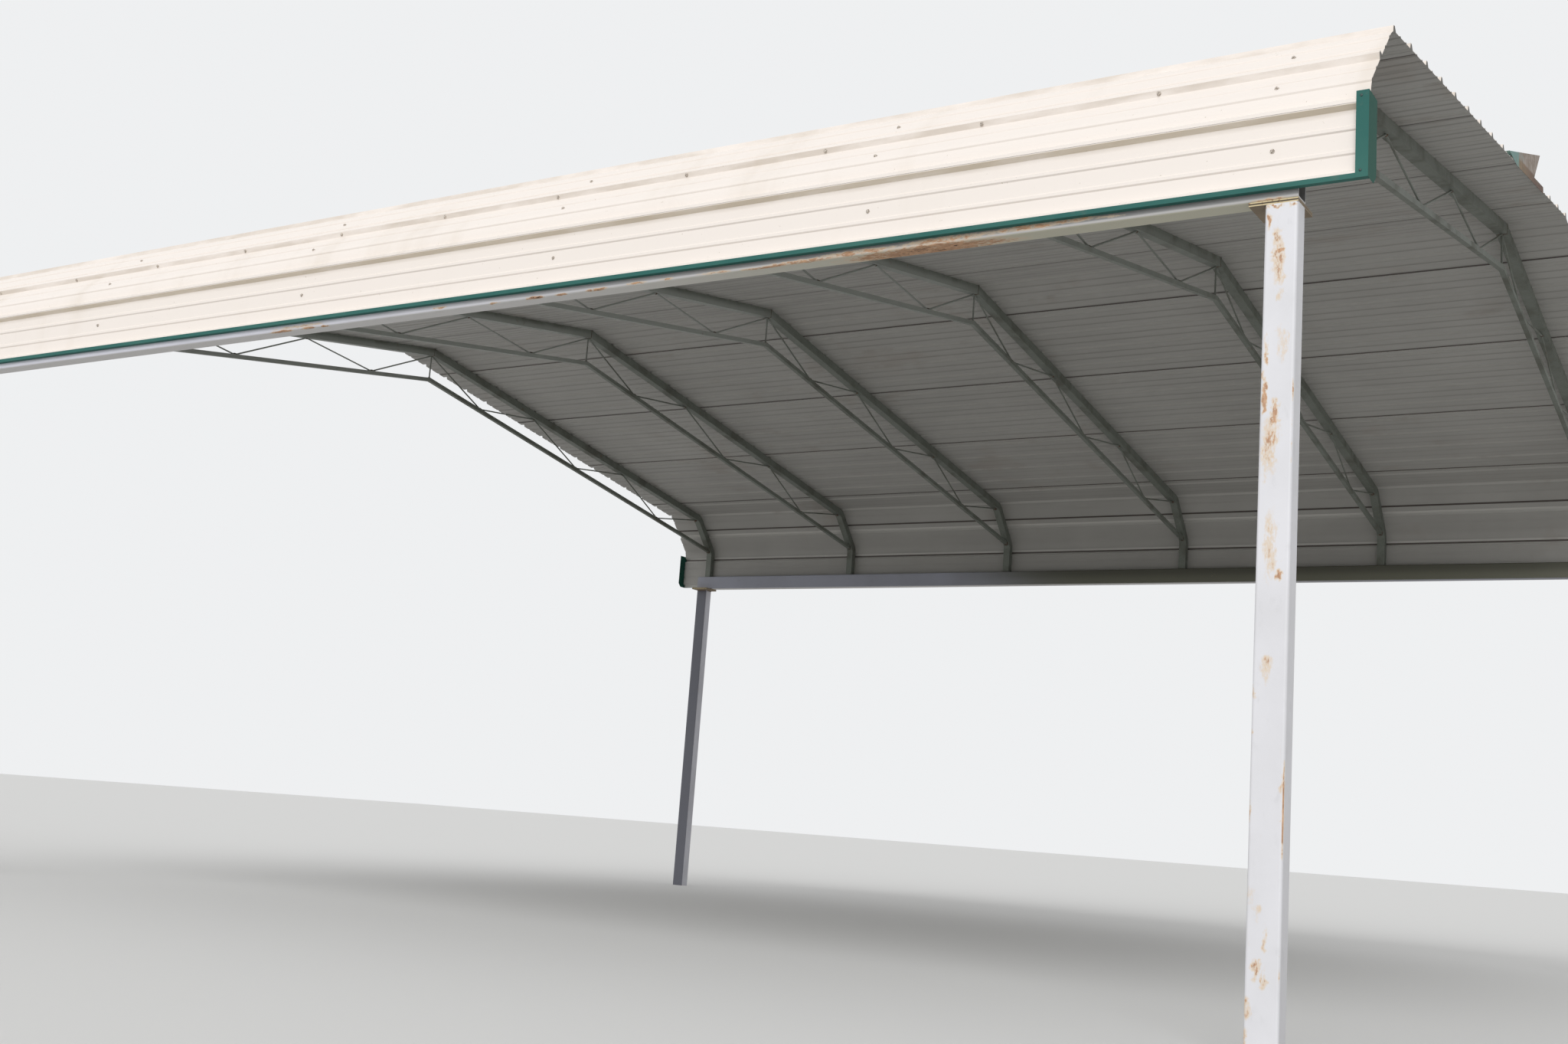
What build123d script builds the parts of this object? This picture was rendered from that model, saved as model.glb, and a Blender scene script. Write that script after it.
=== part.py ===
from build123d import *
from math import atan, cos, hypot, sin, tan, pi
import os

# Open steel carport: four posts carry two long beams, six bent trusses stand on the
# beams, and ribbed steel sheets run along the roof and hang a short way down each side.
# Frame: X runs along the ridge, Y across the bay, Z up, ground at Z = 0.

# Driving sizes of the frame, in millimetres
bay_spacing = 1440.0
bay_count = 5
frame_width = 7315.0
pitch_ratio = 2 / 12
leg_height = 227.0
haunch_run = 252.0
haunch_rise = 280.0
bend_radius = 110.0
bend_parts = 6
post_length = 2540.0
post_width = 101.6
post_depth = 76.2
post_wall = 4.8
post_corner = 9.0
beam_height = 108.0
beam_overhang = 80.0
beam_wall = 4.8
plate_size = 152.4
plate_thickness = 6.4

# Truss members
chord_size = 50.8
tie_size = 25.4
tie_ridge_drop = 226.0
tie_foot_rise = 229.0
rod_size = 10.0
rod_sides = 8
rod_foot_gap = 12.0
rod_let_in = 12.0
web_panel = 1146.0
web_lean = 22.0
last_joint_inset = 297.0

# Ribbed sheeting
sheet_thickness = 1.0
seat_gap = 0.3
ribs_per_sheet = 4
eave_sheet_ribs = 3
rib_pitch = 228.6
rib_height = 19.0
rib_foot = 37.0
rib_crest = 15.0
crease_height = 4.0
crease_foot = 20.0
crease_crest = 10.0
roof_overhang = 290.0
lap_upper_edge = 56.0
lap_lower_edge = 4.0
lap_ramp = 7.0
side_drop = 80.0

# Green edge trims
trim_thickness = 1.0
trim_lip = 15.0
trim_front = 38.0
trim_return = 95.0
trim_corner_cut = 30.0
end_trim_rise = 30.0

# Remnant of gable trim left on the roof's edge, with a torn flap bent up out of line
remnant_start = 650.0
remnant_length = 820.0
remnant_foot = 32.0
remnant_lip = 28.0
remnant_taper = 170.0
flap_tip = 63.0
flap_tear = 230.0
flap_rise = 132.0

# Sizes that follow from those above
truss_x = [(i - bay_count / 2) * bay_spacing for i in range(bay_count + 1)]
frame_end = truss_x[-1]
roof_end = frame_end + roof_overhang
beam_end = frame_end + beam_overhang
half_width = frame_width / 2
beam_bottom = post_length + 2 * plate_thickness
beam_top = beam_bottom + beam_height
slope = atan(pitch_ratio)
haunch_slope = atan(haunch_rise / haunch_run)
ridge_top = beam_top + leg_height + haunch_rise + pitch_ratio * (half_width - haunch_run)
upper_turn = haunch_slope - slope
lower_turn = pi / 2 - haunch_slope
upper_tangent = bend_radius * tan(upper_turn / 2)
lower_tangent = bend_radius * tan(lower_turn / 2)
haunch_start = (half_width - haunch_run) / cos(slope) - upper_tangent + bend_radius * upper_turn
haunch_length = hypot(haunch_run, haunch_rise) - upper_tangent - lower_tangent
wall_start = haunch_start + haunch_length + bend_radius * lower_turn
wall_top = beam_top + leg_height - lower_tangent
side_bottom = beam_top - side_drop
side_end = wall_start + wall_top - side_bottom
lap_lift = sheet_thickness + seat_gap
skin = seat_gap + sheet_thickness
eave_rib = round(wall_start / rib_pitch)
first_lap_rib = ribs_per_sheet // 2
lap_ribs = list(range(first_lap_rib, eave_rib - eave_sheet_ribs + 1, ribs_per_sheet)) + [eave_rib]
side_panel_start = (eave_rib - 1) * rib_pitch - lap_upper_edge
trim_plane = half_width + seat_gap + lap_lift + rib_height + sheet_thickness + seat_gap

# The cross-section of the roof from the ridge to the foot of the lower bend: length and turn of each stretch
stretches = [
    (haunch_start - bend_radius * upper_turn, 0.0),
    (bend_radius * upper_turn, upper_turn),
    (haunch_length, 0.0),
    (bend_radius * lower_turn, lower_turn),
]
bend_marks = []
for bend_start, bend_turn in ((stretches[0][0], upper_turn), (haunch_start + haunch_length, lower_turn)):
    bend_marks += [bend_start + bend_radius * bend_turn * part / bend_parts for part in range(bend_parts + 1)]


def roof_point(distance, height):
    """Point of the roof's cross-section, by distance from the ridge and height above the chords."""
    y, z, heading = 0.0, ridge_top, slope
    for length, turn in stretches:
        step = min(distance, length)
        turned = heading + turn * step / length
        if turn:
            y += bend_radius * (sin(turned) - sin(heading))
            z += bend_radius * (cos(turned) - cos(heading))
        else:
            y += step * cos(heading)
            z -= step * sin(heading)
        heading = turned
        distance -= step
    return (y + height * sin(heading), z + height * cos(heading) - distance)


def between(before, after, distance):
    """Point at a distance on the straight line from one corner of a sheet to the next."""
    share = (distance - before[0]) / (after[0] - before[0])
    return (distance, before[1] + share * (after[1] - before[1]))


def rib_steps(start, end):
    """Distances and heights of the sheet's outer line: tall ribs with two creases between them."""
    corners = []
    third = rib_pitch / 3
    for index in range(int(start / third) - 1, int(end / third) + 3):
        centre = index * third
        tall = index % 3 == 0
        foot = (rib_foot if tall else crease_foot) / 2
        crest = (rib_crest if tall else crease_crest) / 2
        height = rib_height if tall else crease_height
        corners += [(centre - foot, 0.0), (centre - crest, height)]
        corners += [(centre + crest, height), (centre + foot, 0.0)]
    steps = []
    for before, after in zip(corners, corners[1:]):
        if before[0] <= start < after[0]:
            steps.append(between(before, after, start))
        if start < after[0] < end:
            steps.append(after)
        if before[0] < end <= after[0]:
            steps.append(between(before, after, end))
    return steps


def sheet_line(start, end, lifted_from):
    """Outer line of one sheet, lifted over the next sheet where the two lap."""
    steps = rib_steps(start, end)
    line = steps[:1]
    for before, after in zip(steps, steps[1:]):
        line += [between(before, after, mark) for mark in bend_marks if before[0] < mark < after[0]]
        line.append(after)
    if lifted_from is None:
        return line
    ramp_start = lifted_from - lap_ramp
    low = [(d, h) for d, h in line if d <= ramp_start]
    high = [(d, h + lap_lift) for d, h in line if d >= lifted_from]
    return low + [(ramp_start, 0.0), (lifted_from, lap_lift)] + high


def sheet_outline(line):
    """Closed cross-section of a sheet: its outer line and the same line one thickness lower."""
    outer = [roof_point(distance, height + skin) for distance, height in line]
    inner = [roof_point(distance, height + seat_gap) for distance, height in reversed(line)]
    return outer + inner


def mirrored(points):
    return [(-y, z) for y, z in points]


def save(builder, name):
    builder.part.label = name
    export_step(builder.part, "parts/" + name + ".step")


os.makedirs("parts", exist_ok=True)

# Posts: rectangular tubes at the corners, flush with the beam ends and outer faces
post_x = beam_end - post_width / 2
post_y = half_width - post_depth / 2
corners = {
    "open_near": (post_x, -post_y),
    "open_far": (post_x, post_y),
    "house_near": (-post_x, -post_y),
    "house_far": (-post_x, post_y),
}
for corner, place in corners.items():
    with BuildPart() as post:
        with BuildSketch():
            with Locations(place):
                RectangleRounded(post_width, post_depth, post_corner)
                inside = (post_width - 2 * post_wall, post_depth - 2 * post_wall)
                RectangleRounded(*inside, post_corner - post_wall, mode=Mode.SUBTRACT)
        extrude(amount=post_length)
    save(post, "post_" + corner)

# Bearing plates: one welded on each post and one on top of it under the beam
plate_x = beam_end - plate_size / 2
plate_y = half_width - plate_size / 2
plate_places = [(sx * plate_x, sy * plate_y) for sx in (-1, 1) for sy in (-1, 1)]
for name, level in (("post_cap_plates", post_length), ("beam_plates", post_length + plate_thickness)):
    with BuildPart() as plates:
        with BuildSketch(Plane.XY.offset(level)):
            with Locations(*plate_places):
                Rectangle(plate_size, plate_size)
        extrude(amount=plate_thickness)
    save(plates, name)

# Beams: rectangular tubes along both sides
for side, sign in (("near", -1), ("far", 1)):
    with BuildPart() as beam:
        with BuildSketch(Plane.YZ.offset(-beam_end)):
            with Locations((sign * post_y, beam_bottom + beam_height / 2)):
                RectangleRounded(post_depth, beam_height, post_corner)
                inside = (post_depth - 2 * beam_wall, beam_height - 2 * beam_wall)
                RectangleRounded(*inside, post_corner - beam_wall, mode=Mode.SUBTRACT)
        extrude(amount=2 * beam_end)
    save(beam, "beam_" + side)

# Top chord of a truss: two rafters bent twice into legs that stand on the beams
with BuildPart() as chord:
    with BuildSketch(Plane.YZ):
        with BuildLine():
            for level in (0.0, -chord_size):
                here = (0.0, ridge_top + level / cos(slope))
                along = 0.0
                for length, turn in stretches:
                    there = roof_point(along + length, level)
                    if turn:
                        ThreePointArc(here, roof_point(along + length / 2, level), there)
                    else:
                        Line(here, there)
                    here = there
                    along += length
                Line(here, (half_width + level, beam_top))
            Line((half_width, beam_top), (half_width - chord_size, beam_top))
            Line((0.0, ridge_top), (0.0, ridge_top - chord_size / cos(slope)))
        make_face()
        mirror(about=Plane.YZ)
    extrude(amount=chord_size / 2, both=True)

# Tie: the straight lower bar of each slope, from the ridge line to the slanting haunches
tie_ridge = ridge_top - tie_ridge_drop
tie_foot = beam_top + tie_foot_rise
haunch_top_y, haunch_top_z = roof_point(haunch_start, -chord_size)
haunch_foot_y, haunch_foot_z = roof_point(haunch_start + haunch_length, -chord_size)
haunch_share = (haunch_top_z - tie_foot) / (haunch_top_z - haunch_foot_z)
tie_foot_y = haunch_top_y + haunch_share * (haunch_foot_y - haunch_top_y)
tie_slope = (tie_ridge - tie_foot) / tie_foot_y
tie_reach = tie_foot_y + chord_size / 2
tie_half = tie_size / 2 / cos(atan(tie_slope))


def tie_height(y):
    """Height of the tie's centre line."""
    return tie_ridge - tie_slope * abs(y)


with BuildPart() as tie:
    with BuildSketch(Plane.YZ):
        with BuildLine():
            upper = [(y, tie_height(y) + tie_half) for y in (-tie_reach, 0, tie_reach)]
            lower = [(y, tie_height(y) - tie_half) for y in (tie_reach, 0, -tie_reach)]
            Polyline(*upper, *lower, close=True)
        make_face()
    extrude(amount=tie_size / 2, both=True)
    add(chord.part, mode=Mode.SUBTRACT)


def rod_ends(head_y, foot_y):
    """Ends of a rod's centre line, let into the chord above and the tie below."""
    head = Vector(0, head_y, ridge_top - chord_size / cos(slope) - pitch_ratio * head_y)
    foot = Vector(0, foot_y, tie_height(foot_y) + tie_half)
    let_in = (foot - head).normalized() * rod_let_in
    return (head - let_in, foot + let_in)


# Web: a king rod at the ridge and a rod bent to and fro down each slope
last_joint = half_width - last_joint_inset
whole_panels = round(last_joint / web_panel) - 1
top_joints = [web_panel * (index + 1) for index in range(whole_panels)] + [last_joint]
with BuildPart() as web:
    with BuildSketch(Plane.XY.offset(tie_ridge)):
        RegularPolygon(rod_size / 2, rod_sides)
    extrude(amount=tie_ridge_drop - chord_size / 2)
    panel_start = 0.0
    for top_joint in top_joints:
        bottom_joint = (panel_start + top_joint) / 2 - web_lean
        falling = rod_ends(panel_start, bottom_joint - rod_foot_gap / 2)
        rising = rod_ends(top_joint, bottom_joint + rod_foot_gap / 2)
        for head, foot in (falling, rising):
            with BuildSketch(Plane(origin=head, z_dir=foot - head)):
                RegularPolygon(rod_size / 2, rod_sides)
            extrude(amount=(foot - head).length)
        panel_start = top_joint
    mirror(about=Plane.XZ)
    add(chord.part, mode=Mode.SUBTRACT)
    add(tie.part, mode=Mode.SUBTRACT)

for number, x in enumerate(truss_x, start=1):
    for name, piece in (("chord", chord), ("tie", tie), ("web", web)):
        with BuildPart() as member:
            with Locations((x, 0, 0)):
                add(piece.part)
        save(member, "truss_" + str(number) + "_" + name)


def run_sheet(outline, name):
    """Extrudes a sheet's cross-section over the whole roof length and saves it."""
    with BuildPart() as sheet:
        with BuildSketch(Plane.YZ.offset(-roof_end)):
            with BuildLine():
                Polyline(*outline, close=True)
            make_face()
        extrude(amount=2 * roof_end)
    save(sheet, name)


# Roof sheets: each covers four ribs and laps over the next one down the slope
laps = [rib * rib_pitch for rib in lap_ribs]

ridge_half = sheet_line(0.0, laps[0] + lap_lower_edge, laps[0] - lap_upper_edge)[1:]
half_top = [roof_point(distance, height + skin) for distance, height in ridge_half]
half_under = [roof_point(distance, height + seat_gap) for distance, height in ridge_half]
peak = (0.0, ridge_top + (rib_height + skin) / cos(slope))
peak_under = (0.0, ridge_top + (rib_height + seat_gap) / cos(slope))
ridge_top_line = mirrored(half_top[::-1]) + [peak] + half_top
run_sheet(ridge_top_line + half_under[::-1] + [peak_under] + mirrored(half_under), "roof_sheet_ridge")

for side, turn in (("near", mirrored), ("far", list)):
    for number, (upper, lower) in enumerate(zip(laps, laps[1:]), start=1):
        at_eave = lower == laps[-1]
        lifted = side_panel_start if at_eave else lower - lap_upper_edge
        line = sheet_line(upper - lap_upper_edge, lower + lap_lower_edge, lifted)
        name = "roof_sheet_" + side + "_" + ("eave" if at_eave else str(number))
        run_sheet(turn(sheet_outline(line)), name)
    side_line = sheet_line(side_panel_start, side_end, None)
    run_sheet(turn(sheet_outline(side_line)), "side_panel_" + side)

# Bottom trims: angles under the side panels' lower edges
for side, sign in (("near", -1), ("far", 1)):
    shelf_top = side_bottom - seat_gap
    with BuildPart() as trim:
        with BuildSketch(Plane.YZ.offset(-roof_end)):
            with BuildLine():
                front = trim_plane - lap_lift
                Polyline(
                    (sign * (half_width + seat_gap), shelf_top),
                    (sign * front, shelf_top),
                    (sign * front, shelf_top + trim_lip),
                    (sign * (front + trim_thickness), shelf_top + trim_lip),
                    (sign * (front + trim_thickness), shelf_top - trim_thickness),
                    (sign * (half_width + seat_gap), shelf_top - trim_thickness),
                    close=True,
                )
            make_face()
        extrude(amount=2 * roof_end)
    save(trim, "bottom_trim_" + side)

# End trims: angles over the side panels' ends, from the bottom trims to above the rib where the sheets lap
end_trim_foot = side_bottom - seat_gap - trim_thickness
end_trim_top = roof_point(laps[-1], 0.0)[1] + end_trim_rise
for end, direction in (("open", 1), ("house", -1)):
    for side, sign in (("near", -1), ("far", 1)):
        outer_x = direction * (roof_end + seat_gap + trim_thickness)
        inner_x = direction * (roof_end + seat_gap)
        front = sign * (trim_plane + trim_thickness + seat_gap)
        back = sign * (trim_plane + seat_gap)
        edge = front - sign * trim_return
        with BuildPart() as trim:
            with BuildSketch(Plane.XZ.offset(-max(front, back))):
                with BuildLine():
                    leg_x = outer_x - direction * trim_front
                    Polyline(
                        (outer_x, end_trim_foot),
                        (leg_x, end_trim_foot),
                        (leg_x, end_trim_top),
                        (outer_x, end_trim_top),
                        close=True,
                    )
                make_face()
            extrude(amount=trim_thickness)
            with BuildSketch(Plane.YZ.offset(min(inner_x, outer_x))):
                with BuildLine():
                    Polyline(
                        (front, end_trim_foot),
                        (front, end_trim_top),
                        (edge, end_trim_top),
                        (edge, end_trim_foot + trim_corner_cut),
                        (edge + sign * trim_corner_cut, end_trim_foot),
                        close=True,
                    )
                make_face()
            extrude(amount=trim_thickness)
        save(trim, "end_trim_" + end + "_" + side)

# Trim remnant: a strip across the rib crests at the open end, with its face half torn off and bent upright
strip_level = skin + rib_height + lap_lift + seat_gap
strip_top = strip_level + trim_thickness
remnant_end = remnant_start + remnant_length
remnant_face = [
    (remnant_start, strip_level - remnant_lip),
    (remnant_end - remnant_taper, strip_level - remnant_lip),
    (remnant_end, strip_level),
    (remnant_start + flap_tip, strip_level + flap_rise),
    (remnant_start + flap_tear, strip_top),
    (remnant_start, strip_top),
]
strip = [(remnant_start, strip_level), (remnant_end, strip_level)]
strip += [(remnant_end, strip_top), (remnant_start, strip_top)]
with BuildPart() as remnant:
    for outline, inner_x in ((strip, roof_end - remnant_foot), (remnant_face, roof_end + seat_gap)):
        with BuildSketch(Plane.YZ.offset(inner_x)):
            with BuildLine():
                Polyline(*mirrored([roof_point(*point) for point in outline]), close=True)
            make_face()
        extrude(amount=roof_end + seat_gap + trim_thickness - inner_x)
save(remnant, "trim_remnant")
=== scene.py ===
from math import atan, cos, hypot, pi, radians, sin, tan
from random import Random

import bmesh
import bpy
from mathutils import Matrix, Vector


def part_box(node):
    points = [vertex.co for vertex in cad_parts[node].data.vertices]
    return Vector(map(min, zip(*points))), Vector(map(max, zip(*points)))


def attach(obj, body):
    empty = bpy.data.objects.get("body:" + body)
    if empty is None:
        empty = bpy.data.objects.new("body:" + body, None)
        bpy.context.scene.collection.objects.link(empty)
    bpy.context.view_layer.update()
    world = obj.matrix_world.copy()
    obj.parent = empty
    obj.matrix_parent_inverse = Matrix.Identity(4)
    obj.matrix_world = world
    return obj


# An open steel carport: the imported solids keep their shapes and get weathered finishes, and the
# pieces made here are what is too small for them: screws, rivets and welds.
# All lengths are in metres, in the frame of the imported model.

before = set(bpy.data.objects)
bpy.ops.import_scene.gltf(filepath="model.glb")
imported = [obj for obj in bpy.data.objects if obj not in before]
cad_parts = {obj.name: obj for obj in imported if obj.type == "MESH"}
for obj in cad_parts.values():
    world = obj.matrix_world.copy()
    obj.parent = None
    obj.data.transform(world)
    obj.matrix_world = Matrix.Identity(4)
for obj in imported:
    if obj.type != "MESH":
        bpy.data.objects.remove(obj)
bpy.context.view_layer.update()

# Sizes read from the frame
chord_low, chord_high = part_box("truss_1_chord")
tie_low, tie_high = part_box("truss_1_tie")
beam_low, beam_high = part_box("beam_near")
post_low, post_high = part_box("post_open_near")
plate_low, plate_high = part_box("post_cap_plates")
remnant_low, remnant_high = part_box("trim_remnant")
truss_names = sorted(name.removesuffix("_chord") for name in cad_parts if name.endswith("_chord"))
truss_x = [sum(corner.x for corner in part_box(name + "_chord")) / 2 for name in truss_names]
half_width = chord_high.y
ridge_top = chord_high.z
beam_top = chord_low.z
beam_end = beam_high.x
chord_size = chord_high.x - chord_low.x
tie_size = tie_high.x - tie_low.x
post_width = post_high.x - post_low.x
post_depth = post_high.y - post_low.y
roof_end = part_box("roof_sheet_ridge")[1].x
side_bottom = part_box("side_panel_near")[0].z

# Sizes that the frame doesn't give, as in the part's source
pitch_ratio = 2 / 12
leg_height = 0.227
haunch_run = 0.252
haunch_rise = 0.280
bend_radius = 0.110
tie_ridge_drop = 0.226
tie_foot_rise = 0.229
plate_size = 0.1524
rib_pitch = 0.2286
rib_height = 0.019
rib_foot = 0.037
rib_crest = 0.015
crease_foot = 0.020
sheet_skin = 0.0013
lap_lift = 0.0013
lap_upper_edge = 0.056
lap_ribs = (2, 6, 10, 14)
haunch_rib = 16
eave_rib = 17
web_panel = 1.146
web_lean = 0.022
last_joint_inset = 0.297
rod_foot_gap = 0.012
rod_radius = 0.005
rib_flank = (rib_foot + rib_crest) / 4

# The cross-section of the roof from the ridge to the foot of the lower bend: length and turn of each stretch
slope = atan(pitch_ratio)
haunch_slope = atan(haunch_rise / haunch_run)
upper_turn = haunch_slope - slope
lower_turn = pi / 2 - haunch_slope
upper_tangent = bend_radius * tan(upper_turn / 2)
lower_tangent = bend_radius * tan(lower_turn / 2)
upper_corner = (half_width - haunch_run, beam_top + leg_height + haunch_rise)
lower_corner = (half_width, beam_top + leg_height)
upper_mark = (half_width - haunch_run) / cos(slope)
lower_mark = upper_mark + hypot(haunch_run, haunch_rise)
slope_length = upper_mark - upper_tangent
haunch_length = lower_mark - upper_mark - upper_tangent - lower_tangent
stretches = [
    (slope_length, 0.0),
    (bend_radius * upper_turn, upper_turn),
    (haunch_length, 0.0),
    (bend_radius * lower_turn, lower_turn),
]
haunch_start = slope_length + bend_radius * upper_turn
wall_start = haunch_start + haunch_length + bend_radius * lower_turn
upper_saving = 2 * upper_tangent - bend_radius * upper_turn
lower_saving = 2 * lower_tangent - bend_radius * lower_turn


def roof_place(distance, height):
    """Point of the roof's cross-section and its lean there, by distance from the ridge and height."""
    y, z, heading = 0.0, ridge_top, slope
    for length, turn in stretches:
        step = min(distance, length)
        turned = heading + turn * step / length
        if turn:
            y += bend_radius * (sin(turned) - sin(heading))
            z += bend_radius * (cos(turned) - cos(heading))
        else:
            y += step * cos(heading)
            z -= step * sin(heading)
        heading = turned
        distance -= step
    return (y + height * sin(heading), z + height * cos(heading) - distance, heading)


# Camera at the photograph's viewpoint
camera_place = (5.151, -8.613, 0.564)
camera_yaw = 33.18
camera_pitch = 9.97
camera_roll = 4.33
camera_lens = 39.54
camera_sensor = 36.0
camera_sight = 500.0


def add_camera():
    """Camera that looks up at the open corner from just above the ground."""
    data = bpy.data.cameras.new("camera")
    data.sensor_width = camera_sensor
    data.lens = camera_lens
    data.clip_end = camera_sight
    camera = bpy.data.objects.new("camera", data)
    bpy.context.scene.collection.objects.link(camera)
    turn = Matrix.Rotation(radians(camera_yaw), 4, "Z")
    turn = turn @ Matrix.Rotation(radians(90 + camera_pitch), 4, "X")
    turn = turn @ Matrix.Rotation(radians(camera_roll), 4, "Z")
    camera.matrix_world = Matrix.Translation(camera_place) @ turn
    bpy.context.scene.camera = camera


add_camera()


# Patches: scale of the cloud that bends them, and the share of their reach within which they are full
patch_cloud = 24.0
patch_core = 0.15


class Finish:
    """A material's node tree, with a short call for each kind of node that the finishes use."""

    def __init__(self, name):
        self.material = bpy.data.materials.new(name)
        self.material.use_nodes = True
        self.tree = self.material.node_tree
        self.surface = self.tree.nodes["Principled BSDF"]
        self.place = self.add("TexCoord").outputs["Object"]
        self.x, self.y, self.z = self.add("SeparateXYZ", {"Vector": self.place}).outputs

    def add(self, kind, inputs=None, **settings):
        """Node of a kind, with its inputs joined to the sockets or set to the values that are given."""
        node = self.tree.nodes.new("ShaderNode" + kind)
        for key, value in settings.items():
            setattr(node, key, value)
        for key, value in (inputs or {}).items():
            if isinstance(value, bpy.types.NodeSocket):
                self.tree.links.new(value, node.inputs[key])
            else:
                node.inputs[key].default_value = value
        return node

    def math(self, operation, first, second=0.0, third=0.0):
        """Result of one operation on numbers."""
        return self.add("Math", {0: first, 1: second, 2: third}, operation=operation).outputs[0]

    def vector(self, operation, *values):
        """Result of one operation on vectors."""
        return self.add("VectorMath", dict(enumerate(values)), operation=operation).outputs[0]

    def scaled(self, vector, factor):
        """Vector times a factor."""
        return self.add("VectorMath", {0: vector, "Scale": factor}, operation="SCALE").outputs[0]

    def both(self, *shares):
        """Product of shares."""
        total = shares[0]
        for share in shares[1:]:
            total = self.math("MULTIPLY", total, share)
        return total

    def either(self, *shares):
        """Largest of shares."""
        total = shares[0]
        for share in shares[1:]:
            total = self.math("MAXIMUM", total, share)
        return total

    def step(self, value, low, high):
        """0 below low and 1 above high, with a smooth change between."""
        inputs = {"Value": value, "From Min": low, "From Max": high}
        return self.add("MapRange", inputs, interpolation_type="SMOOTHSTEP").outputs[0]

    def band(self, value, centre, reach, soft):
        """1 where value is within reach of centre, 0 further than reach and soft away."""
        away = self.math("ABSOLUTE", self.math("SUBTRACT", value, centre))
        return self.step(away, reach + soft, reach)

    def ranged(self, value, low, high):
        """From low to high while value goes from 0 to 1."""
        return self.add("MapRange", {"Value": value, "To Min": low, "To Max": high}).outputs[0]

    def noise(self, scale, detail=4.0, roughness=0.55, stretch=(1, 1, 1), shift=0.0):
        """Cloudy values about one half. A stretch under 1 makes them longer along that axis."""
        place = self.vector("ADD", self.vector("MULTIPLY", self.place, stretch), (shift, shift, shift))
        inputs = {"Vector": place, "Scale": scale, "Detail": detail, "Roughness": roughness}
        return self.add("TexNoise", inputs).outputs[0]

    def grains(self, scale):
        """Random shade for each cell of a crystal-like pattern."""
        cells = self.add("TexVoronoi", {"Vector": self.place, "Scale": scale}).outputs["Color"]
        return self.add("SeparateColor", {"Color": cells}).outputs[0]

    def mix(self, share, first, second):
        """First colour where share is 0 and second colour where it is 1."""
        node = self.add("Mix", data_type="RGBA")
        for socket, value in ((node.inputs[0], share), (node.inputs[6], first), (node.inputs[7], second)):
            if isinstance(value, bpy.types.NodeSocket):
                self.tree.links.new(value, socket)
            else:
                socket.default_value = (*value, 1.0) if isinstance(value, tuple) else value
        return node.outputs[2]

    def patches(self, places, warp):
        """Soft patches bent by warp, each given by its centre, its reaches and its strength."""
        inputs = {"Vector": self.place, "Scale": patch_cloud, "Detail": 4.0}
        cloud = self.add("TexNoise", inputs).outputs["Color"]
        bend = self.vector("SUBTRACT", cloud, (0.5, 0.5, 0.5))
        bent = self.vector("MULTIPLY_ADD", bend, warp, self.place)
        found = []
        for centre, reach, strength in places:
            away = self.vector("DIVIDE", self.vector("SUBTRACT", bent, centre), reach)
            away = self.add("VectorMath", {0: away}, operation="LENGTH").outputs["Value"]
            found.append(self.both(self.step(away, 1.0, patch_core), strength))
        return self.either(*found)

    def facing(self, direction):
        """How far the surface faces a direction, from -1 to 1."""
        normal = self.add("NewGeometry").outputs["Normal"]
        return self.add("VectorMath", {0: normal, 1: direction}, operation="DOT_PRODUCT").outputs["Value"]

    def bump(self, height, distance, strength, below=None):
        """Normal bent by a height, on top of another bump if there is one below."""
        inputs = {"Height": height, "Distance": distance, "Strength": strength}
        if below is not None:
            inputs["Normal"] = below
        return self.add("Bump", inputs).outputs[0]

    def link(self, **sockets):
        """Joins values to the surface's sockets, by their names with underscores for spaces."""
        for key, value in sockets.items():
            socket = self.surface.inputs[key.replace("_", " ")]
            if isinstance(value, bpy.types.NodeSocket):
                self.tree.links.new(value, socket)
            else:
                socket.default_value = value
        return self.material


def along(f, corner, heading, mark):
    """Distance along a straight stretch of the roof, which passes a corner at a mark."""
    past = f.math("MULTIPLY", f.math("SUBTRACT", f.math("ABSOLUTE", f.y), corner[0]), cos(heading))
    down = f.math("MULTIPLY", f.math("SUBTRACT", corner[1], f.z), sin(heading))
    return f.math("ADD", f.math("ADD", past, down), mark)


def profile_distance(f):
    """Distance from the ridge along the roof's cross-section, at any point of the sheets."""
    on_slope = along(f, (0.0, ridge_top), slope, 0.0)
    on_haunch = along(f, upper_corner, haunch_slope, upper_mark)
    on_wall = along(f, lower_corner, pi / 2, lower_mark)
    past_upper = f.math("GREATER_THAN", f.math("ADD", on_slope, on_haunch), 2 * upper_mark)
    past_lower = f.math("GREATER_THAN", f.math("ADD", on_haunch, on_wall), 2 * lower_mark)
    haunch = f.math("SUBTRACT", on_haunch, upper_saving)
    wall = f.math("SUBTRACT", on_wall, upper_saving + lower_saving)
    upper = f.add("Mix", {0: past_upper, 2: on_slope, 3: haunch}).outputs[0]
    return f.add("Mix", {0: past_lower, 2: upper, 3: wall}).outputs[0]


def outward(f, distance):
    """Outward direction of the roof at a distance from the ridge, as if the sheets had no ribs."""
    heading = slope
    for start, turn in ((slope_length, upper_turn), (haunch_start + haunch_length, lower_turn)):
        end = start + bend_radius * turn
        inputs = {"Value": distance, "From Min": start, "From Max": end, "To Max": turn}
        heading = f.math("ADD", heading, f.add("MapRange", inputs).outputs[0])
    out_y = f.math("MULTIPLY", f.math("SINE", heading), f.math("SIGN", f.y))
    return f.add("CombineXYZ", {"Y": out_y, "Z": f.math("COSINE", heading)}).outputs[0]


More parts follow.
